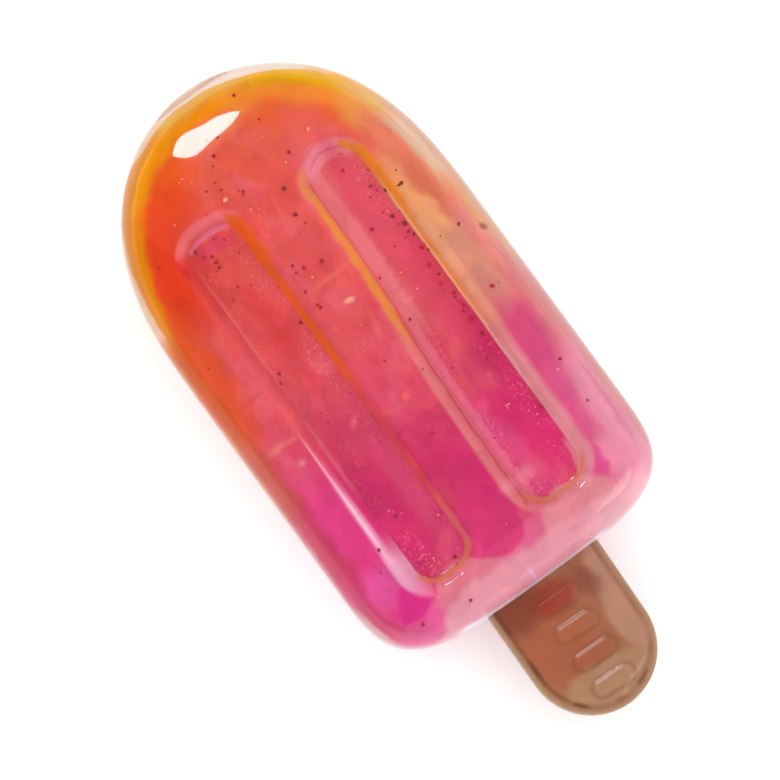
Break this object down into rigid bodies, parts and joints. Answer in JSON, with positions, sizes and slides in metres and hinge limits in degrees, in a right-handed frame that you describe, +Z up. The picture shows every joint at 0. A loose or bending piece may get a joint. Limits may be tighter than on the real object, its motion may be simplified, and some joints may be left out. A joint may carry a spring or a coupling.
{
  "type": "ice pop",
  "caption": "Moulded translucent ice pop with a domed tip and long grooves in both faces, on a short wide moulded stick; it lies on its back.",
  "frame": {"origin": "under the middle of the whole pop, on the surface that it lies on", "axes": "+Y towards the domed tip, -Y towards the stick's free end, +Z up out of the front face, +X to the right seen from above"},
  "size_m": [0.048, 0.1054, 0.0216],
  "materials": {
    "bar_gel": "clear-skinned translucent gel, orange at the tip and sides, coral in the middle, magenta towards the stick, with dark fruit specks",
    "stick_amber": "moulded translucent caramel brown, softly glossy"
  },
  "bodies": {
    "root": {"ice_bar": "bar_gel", "stick": "stick_amber"}
  },
  "joints": []
}
